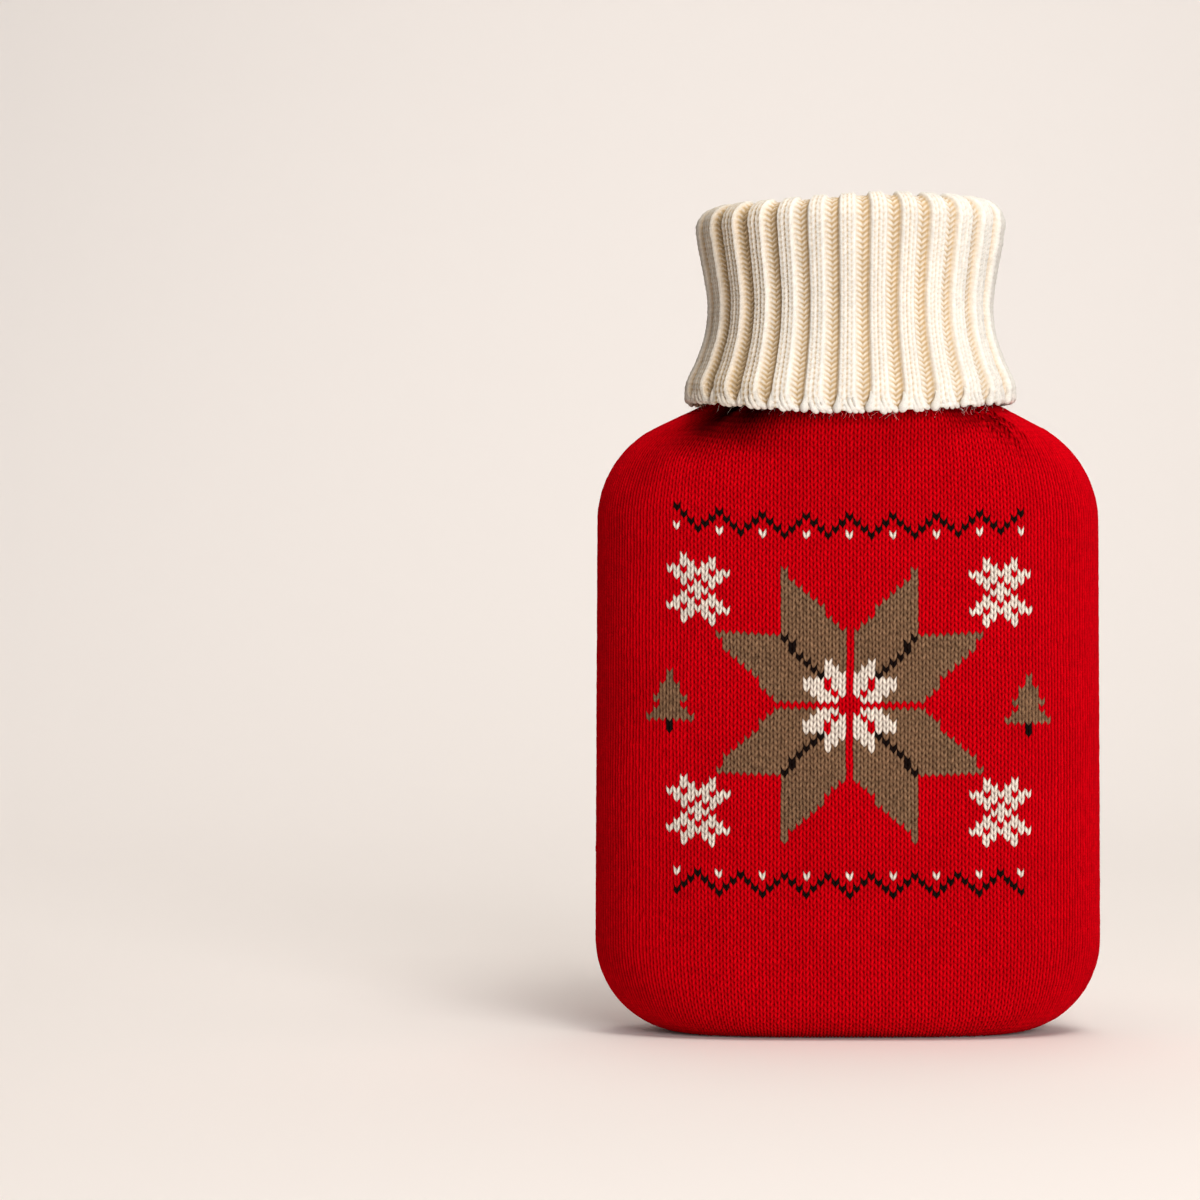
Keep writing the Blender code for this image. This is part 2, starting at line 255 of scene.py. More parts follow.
def slow_waves(rows, columns, seed, row_pitch, column_pitch):
    """Uneven low waves from about -1 to 1 over a grid: random knots, a pitch apart, joined by S-curves."""
    knots = np.random.default_rng(seed).uniform(
        -1.0, 1.0, (int(rows / row_pitch) + 2, int(columns / column_pitch) + 2))
    at_row, at_column = np.arange(rows) / row_pitch, np.arange(columns) / column_pitch
    row, column = at_row.astype(int), at_column.astype(int)
    up = smoothstep(0.0, 1.0, at_row - row)[:, None]
    over = smoothstep(0.0, 1.0, at_column - column)[None, :]
    low = knots[row][:, column] * (1.0 - over) + knots[row][:, column + 1] * over
    high = knots[row + 1][:, column] * (1.0 - over) + knots[row + 1][:, column + 1] * over
    return low * (1.0 - up) + high * up


def quads_of(grid, wrap=False):
    """Corner indices of the quads between neighbouring points of a grid of indices, columns before rows."""
    if wrap:
        grid = np.concatenate([grid, grid[:, :1]], axis=1)
    return np.stack([grid[:-1, :-1], grid[:-1, 1:], grid[1:, 1:], grid[1:, :-1]], axis=2).reshape(-1, 4)


def border_strip(fine, coarse):
    """Triangles that join a loop of fine points to one of coarse points, four fine edges to a coarse edge."""
    fan = np.stack([np.roll(fine, -k)[::COARSE] for k in range(COARSE + 1)], axis=1)
    here, after = coarse, np.roll(coarse, -1)
    corners = [(fan[:, 1], fan[:, 0], here), (fan[:, 2], fan[:, 1], here), (fan[:, 2], here, after),
               (fan[:, 3], fan[:, 2], after), (fan[:, 4], fan[:, 3], after)]
    return np.concatenate([np.stack(triangle, axis=1) for triangle in corners])


def rim_of(grid):
    """The loop of indices round a grid: along its first row, up its last column, and back."""
    return np.concatenate([grid[0, :-1], grid[:-1, -1], grid[-1, :0:-1], grid[:0:-1, 0]])


def knitted_object(name, points, hollow, stitches, quads, quad_yarn, triangles, triangle_yarn):
    """A mesh object with a stitch map (wales across, courses up), hollows of points and yarns of faces."""
    mesh = bpy.data.meshes.new(name)
    mesh.from_pydata(points.tolist(), [], quads.tolist() + triangles.tolist())
    mesh.shade_smooth()
    corner_point = np.concatenate([quads.ravel(), triangles.ravel()])
    mesh.uv_layers.new(name="stitches").uv.foreach_set("vector", stitches[corner_point].astype("f4").ravel())
    hollows = mesh.attributes.new("hollow", "FLOAT", "POINT")
    hollows.data.foreach_set("value", hollow.astype("f4"))
    yarn = mesh.color_attributes.new("yarn", "FLOAT_COLOR", "CORNER")
    colours = np.concatenate([np.repeat(quad_yarn, 4, axis=0), np.repeat(triangle_yarn, 3, axis=0)])
    yarn.data.foreach_set("color", colours.astype("f4").ravel())
    piece = bpy.data.objects.new(name, mesh)
    bpy.context.scene.collection.objects.link(piece)
    return piece


def knitted_panel(name, gathers, chart, side, seed):
    """One panel as a closed sheet: its stitches outside, a plainer inside, and a strip round its edge.

    Each wale has four quads across and each course two quads up. Rows rise outwards from a wale's middle, so
    every leg is a slanted pad, high at its middle and low round its edge, and a colour change follows the
    legs. side is -1 for the front and 1 for the back.
    """
    columns = np.arange(WALES * COLUMNS_PER_WALE + 1)
    rows = np.arange(COURSES * ROWS_PER_COURSE + 1)[:, None]
    outward = np.abs(columns % COLUMNS_PER_WALE - COLUMNS_PER_WALE / 2) / (COLUMNS_PER_WALE / 2)
    from_edge = np.clip(np.minimum(rows, rows[-1] - rows) / EDGE_ROWS, 0.0, 1.0)
    up = (rows / ROWS_PER_COURSE + LEG_LEAN * (outward - 0.5) * from_edge) / COURSES
    points, gloom = panel_sheet(gathers, columns / columns[-1], up)

    along_course = unit(np.gradient(points, axis=1))
    up_wale = unit(np.gradient(points, axis=0))
    normals = np.cross(up_wale, along_course)
    normals[:, [0, -1], 1] = 0.0
    normals[points[:, :, 2] < 1e-6] = [0.0, 0.0, -1.0]
    normals = unit(normals)

    random = np.random.default_rng(seed)
    legs = random.normal(size=(3, COURSES, WALES * 2))
    legs = np.repeat(np.repeat(legs, ROWS_PER_COURSE, axis=1), COLUMNS_PER_WALE // 2, axis=2)
    legs = np.pad(legs, ((0, 0), (0, 1), (0, 1)), mode="edge")
    wander = sum(
        share * slow_waves(len(rows), len(columns), seed + number, *pitches)
        for number, (share, *pitches) in enumerate(WANDER_WAVES)
    )
    stitch = STITCH[columns % COLUMNS_PER_WALE]
    depth = np.where(rows % ROWS_PER_COURSE == 0, stitch["edge"], stitch["middle"])
    near_seam = smoothstep(SIDE_START, SIDE_END, np.abs(2.0 * columns / columns[-1] - 1.0))
    depth += SIDE_CALM * near_seam * (stitch["side"] - depth)
    seam = np.exp(-((np.minimum(columns, columns[-1] - columns) / COLUMNS_PER_WALE) ** 2))
    legs[0] *= 1.0 - SIDE_EVENNESS * near_seam
    legs = legs.clip(-2.0, 2.0)
    offset = -STITCH_RELIEF * depth - STITCH_UNEVENNESS * (1.0 + legs[0]) - SEAM_GROOVE * seam
    sideways = (WALE_WANDER * wander + STITCH_UNEVENNESS * legs[1]) * (1.0 - seam)
    upways = STITCH_UNEVENNESS * legs[2] * from_edge
    outside = points + normals * offset[:, :, None]
    outside += along_course * sideways[:, :, None] + up_wale * upways[:, :, None]
    outside[:, :, 2] = np.maximum(outside[:, :, 2], 0.0)
    # Painted shade: the stitch's hollow and the gathers' gloom darken the yarn's colour
    hollow = 1.0 - (1.0 - depth**HOLLOW_FALL) * (1.0 - gloom)
    inside = (points - normals * PANEL_THICKNESS)[::COARSE, ::COARSE]
    inside[:, [0, -1], 1] = np.maximum(inside[:, [0, -1], 1], 0.0)

    stitches = np.stack(np.broadcast_arrays(columns / COLUMNS_PER_WALE, rows / ROWS_PER_COURSE), axis=2)
    outside_at = np.arange(outside.shape[0] * outside.shape[1]).reshape(outside.shape[:2])
    inside_at = outside_at.size + np.arange(inside.shape[0] * inside.shape[1]).reshape(inside.shape[:2])
    outside_quads = quads_of(outside_at)
    inside_quads = quads_of(inside_at)[:, ::-1]
    strip = border_strip(rim_of(outside_at), rim_of(inside_at))
    stitch_yarn = np.repeat(np.repeat(chart, ROWS_PER_COURSE, axis=0), COLUMNS_PER_WALE, axis=1)
    plain = np.array([RED])

    everything = np.concatenate([outside.reshape(-1, 3), inside.reshape(-1, 3)])
    everything[:, 1] *= side
    return knitted_object(
        name, everything,
        np.concatenate([hollow.ravel(), np.full(inside_at.size, INSIDE_HOLLOW)]),
        np.concatenate([stitches.reshape(-1, 2), stitches[::COARSE, ::COARSE].reshape(-1, 2)]),
        np.concatenate([outside_quads, inside_quads])[:, ::-side],
        np.concatenate([stitch_yarn.reshape(-1, 4), np.repeat(plain, len(inside_quads), axis=0)]),
        strip[:, ::-side], np.repeat(plain, len(strip), axis=0),
    )


class Fibre:
    """A socket of a material's nodes. Arithmetic between fibres and numbers adds Math nodes."""

    def __init__(self, tree, socket=None):
        self.tree, self.socket = tree, socket

    def node(self, kind, sockets=(), output=0, **settings):
        """Adds a node of one type: its settings first, then the values or links of its sockets."""
        made = self.tree.nodes.new(kind)
        for key, value in settings.items():
            setattr(made, key, value)
        for key, value in dict(sockets).items():
            if isinstance(value, Fibre):
                self.tree.links.new(value.socket, made.inputs[key])
            else:
                made.inputs[key].default_value = value
        return Fibre(self.tree, made.outputs[output])

    def maths(self, operation, first, second=0.0):
        """A Math node on one or two values."""
        return self.node("ShaderNodeMath", {0: first, 1: second}, operation=operation)

    def __add__(self, other):
        return self.maths("ADD", self, other)

    __radd__ = __add__

    def __sub__(self, other):
        return self.maths("SUBTRACT", self, other)

    def __rsub__(self, other):
        return self.maths("SUBTRACT", other, self)

    def __mul__(self, other):
        return self.maths("MULTIPLY", self, other)

    __rmul__ = __mul__

    def tinting(self, colour, tint):
        """The colour, multiplied by the tint as far as this value says, from 0 to 1."""
        sockets = {0: self, 6: colour, 7: tint}
        return self.node("ShaderNodeMix", sockets, output=2, data_type="RGBA", blend_type="MULTIPLY")


# The yarn's finish: how many of each mark there are in a metre, how far each changes the brightness, the
# turns of the plies in a course, how high each stands, and the roughness of the fibres. A stitch has two legs
# side by side
TONE_SCALE, FLECK_SCALE, FIBRE_SCALE = 38.0, 620.0, 1500.0
TONE_SHADE, FLECK_SHADE, FIBRE_SHADE = 0.20, 1.5, 0.30
LEGS_PER_STITCH = (2.0, 1.0, 0.0)
PLIES_PER_COURSE = 2.0
PLY_HEIGHT, FLECK_HEIGHT, FIBRE_HEIGHT = 0.25, 0.5, 0.8
BUMP_STRENGTH, BUMP_DISTANCE = 0.55, 0.0002
YARN_ROUGHNESS, SHEEN_ROUGHNESS = 0.95, 0.5


def wool(name, leg_shade, hollow_shade, hollow_tint, sheen):
    """Knitted wool-like yarn in the colours of the yarn attribute.

    Each leg of a stitch has its own brightness, fine fibres speckle it, slow waves of tone run over the
    cloth, and painted shade darkens the hollows between stitches and tints them. Twisted plies and fibres
    stand up in the bump. A tint, the colour of the painted shade, and a sheen are each a colour with their
    strength as the fourth number.
    """
    material = bpy.data.materials.new(name)
    material.use_nodes = True
    tree = material.node_tree
    shader = tree.nodes["Principled BSDF"]
    start = Fibre(tree)
    place = start.node("ShaderNodeTexCoord", output="Object")
    stitches = start.node("ShaderNodeUVMap", uv_map="stitches")
    yarn = start.node("ShaderNodeVertexColor", layer_name="yarn")
    heather = start.node("ShaderNodeVertexColor", output="Alpha", layer_name="yarn")
    hollow = start.node("ShaderNodeAttribute", output="Fac", attribute_name="hollow")
    hollow = hollow * hollow

    leg_cell = start.node("ShaderNodeVectorMath", {0: stitches, 1: LEGS_PER_STITCH}, operation="MULTIPLY")
    leg_number = start.node("ShaderNodeVectorMath", {0: leg_cell}, operation="FLOOR")
    leg = start.node("ShaderNodeTexWhiteNoise", {"Vector": leg_number}, noise_dimensions="3D")
    tone = start.node("ShaderNodeTexNoise", {"Vector": place, "Scale": TONE_SCALE, "Detail": 3.0})
    fibres = start.node("ShaderNodeTexNoise", {"Vector": place, "Scale": FIBRE_SCALE, "Detail": 2.0})
    flecks = start.node("ShaderNodeTexNoise", {"Vector": place, "Scale": FLECK_SCALE, "Detail": 1.0})

    bright = 1.0 + (leg - 0.5) * leg_shade + (tone - 0.5) * TONE_SHADE + (fibres - 0.5) * FIBRE_SHADE
    bright = bright + (flecks - 0.5) * heather * FLECK_SHADE
    # Painted shade: the hollow attribute darkens the yarn and tints it with hollow_tint
    bright = bright * (1.0 - hollow * hollow_shade)
    colour = (hollow * hollow_tint[3]).tinting(yarn, (*hollow_tint[:3], 1.0))
    colour = start.node("ShaderNodeHueSaturation", {"Value": bright, "Color": colour})
    tree.links.new(colour.socket, shader.inputs["Base Color"])

    across = start.node("ShaderNodeSeparateXYZ", {0: leg_cell}, output="X")
    upward = start.node("ShaderNodeSeparateXYZ", {0: leg_cell}, output="Y")
    ply = start.maths("SINE", (upward * PLIES_PER_COURSE + across) * (2.0 * np.pi))
    height = ply * PLY_HEIGHT + fibres * FIBRE_HEIGHT + flecks * FLECK_HEIGHT
    bump_sockets = {"Height": height, "Strength": BUMP_STRENGTH, "Distance": BUMP_DISTANCE}
    bump = start.node("ShaderNodeBump", bump_sockets)
    tree.links.new(bump.socket, shader.inputs["Normal"])
    shader.inputs["Roughness"].default_value = YARN_ROUGHNESS
    shader.inputs["Specular IOR Level"].default_value = 0.0
    shader.inputs["Sheen Weight"].default_value = sheen[3]
    shader.inputs["Sheen Tint"].default_value = (*sheen[:3], 1.0)
    shader.inputs["Sheen Roughness"].default_value = SHEEN_ROUGHNESS
    return material


# The chart, in stitches: the course in its middle, courses to a wale's width, the star's petals and heart,
# the zigzags' course above and below the middle, their repeat and half-width, and the small motifs with their
# places as wales right of and courses above the middle
CHART_MIDDLE = 66
STITCH_SQUARENESS = 1.19
PETAL, HEART = 9, 3
ZIGZAG_COURSE, ZIGZAG_REPEAT, ZIGZAG_HALF_WIDTH = 28, 6, 24
SNOWFLAKE = """
..#...#..
..##.##..
##.###.##
.###.###.
..#.#.#..
...###...
..#.#.#..
.###.###.
##.###.##
..##.##..
..#...#..
"""
TREE = """
...#...
...#...
..###..
..###..
.#####.
..###..
.#####.
#######
...o...
...o...
"""
SMALL_MOTIFS = (
    ("#", SNOWFLAKE, OFF_WHITE, ((-21, 18), (21, 18), (-21, -18), (21, -18))),
    ("#", TREE, TAUPE, ((-25, 0), (25, 0))),
    ("o", TREE, BLACK, ((-25, 0), (25, 0))),
)


def star_chart():
    """The yarn of each stitch of the front: courses up, wales across, and a colour with its heather.

    An eight-point star stands in the middle: a stitch is in a petal where, of its two distances from the
    middle, the smaller is from 1 to PETAL and the larger exceeds it by 1 to PETAL. A small star of another
    yarn fills its heart. Zigzags run above and below it, with dots between their peaks, and snowflakes and
    trees stand round it.
    """
    chart = np.empty((COURSES, WALES, 4))
    chart[:] = RED
    wale = np.arange(WALES) - (WALES - 1) // 2
    course = np.arange(COURSES) - CHART_MIDDLE
    x, y = np.meshgrid(wale, np.round(course / STITCH_SQUARENESS).astype(int))
    larger, smaller = np.maximum(np.abs(x), np.abs(y)), np.minimum(np.abs(x), np.abs(y))

    def petals(size):
        """Which stitches lie in the petals of a star of this size."""
        return (smaller >= 1) & (smaller <= size) & (larger - smaller >= 1) & (larger - smaller <= size)

    chart[petals(PETAL)] = TAUPE
    chart[petals(HEART)] = OFF_WHITE
    chart[(larger == smaller) & (larger > HEART) & (larger <= PETAL)] = BLACK
    chart[(larger == smaller) & (larger > 0) & (larger <= HEART)] = RED

    x, y = np.meshgrid(wale, course)
    for middle in (-ZIGZAG_COURSE, ZIGZAG_COURSE):
        outward = (y - middle) * np.sign(middle)
        peak = np.abs((x + ZIGZAG_REPEAT // 2) % ZIGZAG_REPEAT - ZIGZAG_REPEAT // 2)
        inside = np.abs(x) <= ZIGZAG_HALF_WIDTH
        chart[inside & (outward == ZIGZAG_REPEAT // 2 - peak)] = BLACK
        chart[inside & (outward == 0) & (peak == 0)] = OFF_WHITE
    for symbol, lines, yarn, spots in SMALL_MOTIFS:
        shape = np.array([[stitch == symbol for stitch in line] for line in reversed(lines.split())])
        for wales_right, courses_up in spots:
            low = CHART_MIDDLE + courses_up - shape.shape[0] // 2
            left = (WALES - 1) // 2 + wales_right - shape.shape[1] // 2
            patch = chart[low:low + shape.shape[0], left:left + shape.shape[1]]
            patch[shape] = yarn
    return chart


red_wool = wool(
    "red_wool", leg_shade=0.20, hollow_shade=1.02, hollow_tint=(1.0, 0.6, 0.6, 0.3),
    sheen=(1.0, 0.02, 0.04, 0.10),
)
front_panel = knitted_panel("front_panel_knitting", FRONT_GATHERS, star_chart(), side=-1, seed=11)
front_panel.data.materials.append(red_wool)
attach(front_panel, "root")
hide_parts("front_panel")

# ------------------------------------------------------------------------------------------------------------
# Back panel. The plain back half of the bag, in the same red stocking stitch and shape as the front, sewn to
# it edge to edge down the sides and under the base, with its own gathers at the neck.
# ------------------------------------------------------------------------------------------------------------
BACK_GATHERS = np.array(
    [(-0.74, 0.0, 0.070, 0.0026, 0.030, 0.3), (-0.30, 0.0, 0.070, 0.0014, 0.034, 0.0),
     (0.34, 0.0, 0.070, 0.0014, 0.028, 0.0), (0.72, 0.0, 0.075, 0.0030, 0.034, 0.3),
     (-0.86, 0.0, 0.030, -0.0010, 0.026, 0.0), (0.60, 0.0, 0.028, -0.0010, 0.032, 0.0),
     (-0.50, 0.0, 0.025, -0.0008, 0.026, 0.0), (0.88, 0.0, 0.030, 0.0012, 0.024, 0.2)],
    dtype=GATHER_COLUMNS,
)
plain_chart = np.empty((COURSES, WALES, 4))
plain_chart[:] = RED
back_panel = knitted_panel("back_panel_knitting", BACK_GATHERS, plain_chart, side=1, seed=23)
back_panel.data.materials.append(red_wool)
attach(back_panel, "root")
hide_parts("back_panel")

# ------------------------------------------------------------------------------------------------------------
# Roll neck. A tube of cream two-by-two rib, picked up from the neck edge, knitted upwards, folded outwards
# and turned down to its cast-off hem. Two wales stand up as a ridge and two lie back as a valley, all the
# way round.
# ------------------------------------------------------------------------------------------------------------
# The fold is two quarter ellipses, a narrow one inside and a wide one outside, where the ribs lie flatter.
# The hem rises at the sides and sinks at the front and back, and the top rises over TOP_RISE_SPAN of x
FOLD_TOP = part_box("roll_neck")[1][2]
FOLD_HALF_WIDTH, FOLD_HALF_DEPTH = 0.0618, 0.0426
FOLD_RISE, FOLD_OUTER_ROUNDING, FOLD_INNER_ROUNDING = 0.0060, 0.0070, 0.0025
FOLD_FLATTENING = 0.40
FOLD_KNOTS = 9
HEM_RISE, HEM_RISE_TOP = 0.0032, 0.3070
TOP_RISE, TOP_RISE_SPAN = 0.0028, (-0.045, 0.015)
NECK_SEAM_HEIGHT = NECK_HEIGHT + 0.0003
SEAM_INSET = 0.0015
RING_SAMPLES, RING_RATIOS = 1441, 64

# The rib: thickness of the cloth, relief of a ridge, ribs round and how far the first is from the middle of
# the front in ribs, about the width of one at the hem, and courses from the seam to the hem
RIB_CLOTH = 0.0020
RIB_RELIEF = 0.0028
RIB_COUNT = 26
RIB_OFFSET = -0.355
RIB_WIDTH = 0.0132
RIB_COURSES = 76
RIB_UNEVENNESS = 0.00008
RIB_SEED = 31

# The cream yarn. Its hollows are those of the courses and of the valleys, up to DEEPEST_HOLLOW, and carry
# painted shade. More painted shade makes it yellower and darker to the left, and painted light, less of the
# shade, makes it cleaner to the right, over shares of the way from the middle to each side
CREAM = (0.800, 0.765, 0.705, 0.12)
COURSE_HOLLOW, VALLEY_HOLLOW, DEEPEST_HOLLOW, HIDDEN_HOLLOW = 0.85, 0.55, 1.3, 1.0
LEFT_PAINTED_SHADE, LEFT_SHADE_SPAN = 0.38, (0.3, 0.95)
RIGHT_PAINTED_LIGHT, RIGHT_LIGHT_SPAN = 0.22, (0.3, 0.9)

# The middle of the cloth as height, half-width and half-depth, from its seam up to the fold, and from below
# the fold down to the hem
INNER_LAYER = [(0.2900, 0.0532, 0.0345), (0.3070, 0.0530, 0.0370), (0.3250, 0.0530, 0.0358)]
OUTER_LAYER = [(0.3330, 0.0611, 0.0422), (0.3200, 0.0586, 0.0415), (0.3070, 0.0569, 0.0410),
               (0.2935, 0.0583, 0.0416), (0.2810, 0.0622, 0.0432), (0.2700, 0.0664, 0.0444),
               (0.2630, 0.0662, 0.0444)]

# One rib in sixteen vertex columns. place is in ribs from the ridge's middle, stand is its share of the
# relief, edge and middle are how deep a course's edge and middle lie there in mm, and lift is how far its
# courses rise on the outside, in courses
MM = 0.001
RIB = np.array(
    [(-0.262, 0.45, 0.55, 0.40, 0.50), (-0.200, 1.00, 0.25, 0.00, 0.25), (-0.132, 0.88, 1.00, 0.50, 0.00),
     (-0.064, 1.00, 0.25, 0.00, 0.25), (0.000, 0.76, 1.15, 0.65, 0.50), (0.064, 1.00, 0.25, 0.00, 0.25),
     (0.132, 0.88, 1.00, 0.50, 0.00), (0.200, 1.00, 0.15, 0.00, 0.25), (0.262, 0.50, 0.20, 0.10, 0.50),
     (0.310, 0.04, 0.40, -0.10, 0.42), (0.365, 0.00, 0.50, -0.25, 0.25), (0.430, 0.02, 0.65, -0.20, 0.00),
     (0.500, -0.04, 1.10, 0.15, -0.30), (0.570, 0.02, 0.80, 0.00, 0.00), (0.635, 0.00, 0.90, 0.20, 0.25),
     (0.690, 0.04, 0.90, 0.45, 0.42)],
    dtype=[("place", "f8"), ("stand", "f8"), ("edge", "f8"), ("middle", "f8"), ("lift", "f8")],
)

# In the last few courses each ridge's right half sweeps to the right, over the valley. The places are in
# ribs. The sweep starts SWEEP_COURSES above the hem, would end SWEEP_PAST below it, and eases in
SWEEP_COURSES, SWEEP_PAST, SWEEP_EASE = 3.6, 0.6, 1.5
SWEEP = np.array(
    [(-0.310, -0.310), (-0.195, -0.190), (-0.066, 0.000), (0.066, 0.210), (0.195, 0.410), (0.262, 0.500),
     (0.310, 0.560), (0.690, 0.690)],
    dtype=[("from", "f8"), ("to", "f8")],
)


def smooth_through(knots, steps=16):
    """A smooth curve through rows of numbers, with steps points from each row to the next.

    Each span is a cubic. Its slopes at a knot are those of the two spans there, each weighted by the other's
    length.
    """
    span = np.linalg.norm(np.diff(knots, axis=0), axis=1)[:, None]
    chord = np.diff(knots, axis=0) / span
    inner = (chord[:-1] * span[1:] + chord[1:] * span[:-1]) / (span[:-1] + span[1:])
    slope = np.vstack([chord[:1], inner, chord[-1:]])
    t = np.linspace(0.0, 1.0, steps, endpoint=False)[None, :, None]
    start, end = knots[:-1, None, :], knots[1:, None, :]
    leave, arrive = (slope[:-1] * span)[:, None, :], (slope[1:] * span)[:, None, :]
    curve = start * (2 * t**3 - 3 * t**2 + 1) + leave * (t**3 - 2 * t**2 + t)
    curve = curve + end * (3 * t**2 - 2 * t**3) + arrive * (t**3 - t**2)
    return np.vstack([curve.reshape(-1, knots.shape[1]), knots[-1:]])


def neck_profile():
    """The middle of the cloth as height, half-width and half-depth: up, round the fold, and down."""
    turn = np.linspace(0.0, np.pi, FOLD_KNOTS)
    fold_foot = FOLD_TOP - RIB_RELIEF * (1.0 - FOLD_FLATTENING) - RIB_CLOTH / 2 - FOLD_RISE
    inward = FOLD_OUTER_ROUNDING + np.cos(turn) * np.where(
        turn < np.pi / 2, FOLD_INNER_ROUNDING, FOLD_OUTER_ROUNDING)
    height = fold_foot + FOLD_RISE * np.sin(turn)
    fold = np.stack([height, FOLD_HALF_WIDTH - inward, FOLD_HALF_DEPTH - inward], axis=1)
    neck_half_depth = BASE_HALF_DEPTH + BASE_EDGE_RADIUS
    seam = [(NECK_SEAM_HEIGHT, NECK_HALF_WIDTH - SEAM_INSET, neck_half_depth - SEAM_INSET)]
    return smooth_through(np.vstack([seam, INNER_LAYER, fold, OUTER_LAYER]))


def ribbed_tube(profile, shares, up, raised):
    """Points of a face of the roll neck, and the directions along its rings and out of it.

    profile is the cloth's middle, shares each point's share of the way round, up its share of the profile,
    and raised how far it stands off the middle. Each ring is an ellipse walked at even steps: the walk is
    worked out for RING_RATIOS ellipses from the flattest to a circle, and read between them.
    """
    length = np.concatenate([[0.0], np.cumsum(np.hypot(np.diff(profile[:, 0]), np.diff(profile[:, 1])))])
    slope = unit(np.gradient(profile[:, :2], length, axis=0))
    at = up * length[-1]
    height, half_width, half_depth = (np.interp(at, length, profile[:, k]) for k in range(3))
    rising, widening = (np.interp(at, length, slope[:, k]) for k in range(2))

    angle = np.linspace(-np.pi / 2, 3 * np.pi / 2, RING_SAMPLES)
    ratio = np.linspace(half_depth.min() / half_width.max(), 1.0, RING_RATIOS)[:, None]
    step = np.hypot(np.diff(np.cos(angle)), ratio * np.diff(np.sin(angle)))
    walked = np.concatenate([np.zeros_like(ratio), np.cumsum(step, axis=1)], axis=1)
    even = np.linspace(0.0, 1.0, len(angle))
    turned = np.array([np.interp(even, w / w[-1], angle) for w in walked])
    row = (half_depth / half_width - ratio[0]) / (ratio[1] - ratio[0])
    column = (shares % 1.0) * (len(angle) - 1)
    row, column = np.clip(row, 0, len(ratio) - 1.001), np.clip(column, 0, len(angle) - 1.001)
    low, left = row.astype(int), column.astype(int)
    lower = turned[low, left] * (1 - column + left) + turned[low, left + 1] * (column - left)
    upper = turned[low + 1, left] * (1 - column + left) + turned[low + 1, left + 1] * (column - left)
    theta = lower * (1 - row + low) + upper * (row - low)

    x, y = half_width * np.cos(theta), half_depth * np.sin(theta)
    out = unit(np.stack([half_depth * np.cos(theta), half_width * np.sin(theta)], axis=2))
    on_outside = np.clip(-rising, 0.0, 1.0)
    to_hem = on_outside * (1.0 - smoothstep(profile[-1, 0], HEM_RISE_TOP, height))
    height = height + HEM_RISE * to_hem * (2.0 * np.cos(theta) ** 2 - 1.0)
    height = height + TOP_RISE * smoothstep(HEM_RISE_TOP, FOLD_TOP, height) * smoothstep(*TOP_RISE_SPAN, x)
    facing = unit(np.stack([-rising, widening], axis=2))
    flat = raised * (1.0 - FOLD_FLATTENING * np.clip(facing[:, :, 1], 0, 1))
    normals = np.concatenate([out * facing[:, :, :1], facing[:, :, 1:]], axis=2)
    points = np.stack([x + lean(height), y, height], axis=2) + normals * flat[:, :, None]
    return points, normals


def painted_side_shade(hollow, points):
    """The hollows with painted shade added to the left, for a yellower cream, and taken off to the right."""
    right = points[..., 0] / FOLD_HALF_WIDTH
    hollow = hollow * (1.0 - RIGHT_PAINTED_LIGHT * smoothstep(*RIGHT_LIGHT_SPAN, right))
    return hollow + LEFT_PAINTED_SHADE * smoothstep(*LEFT_SHADE_SPAN, -right)


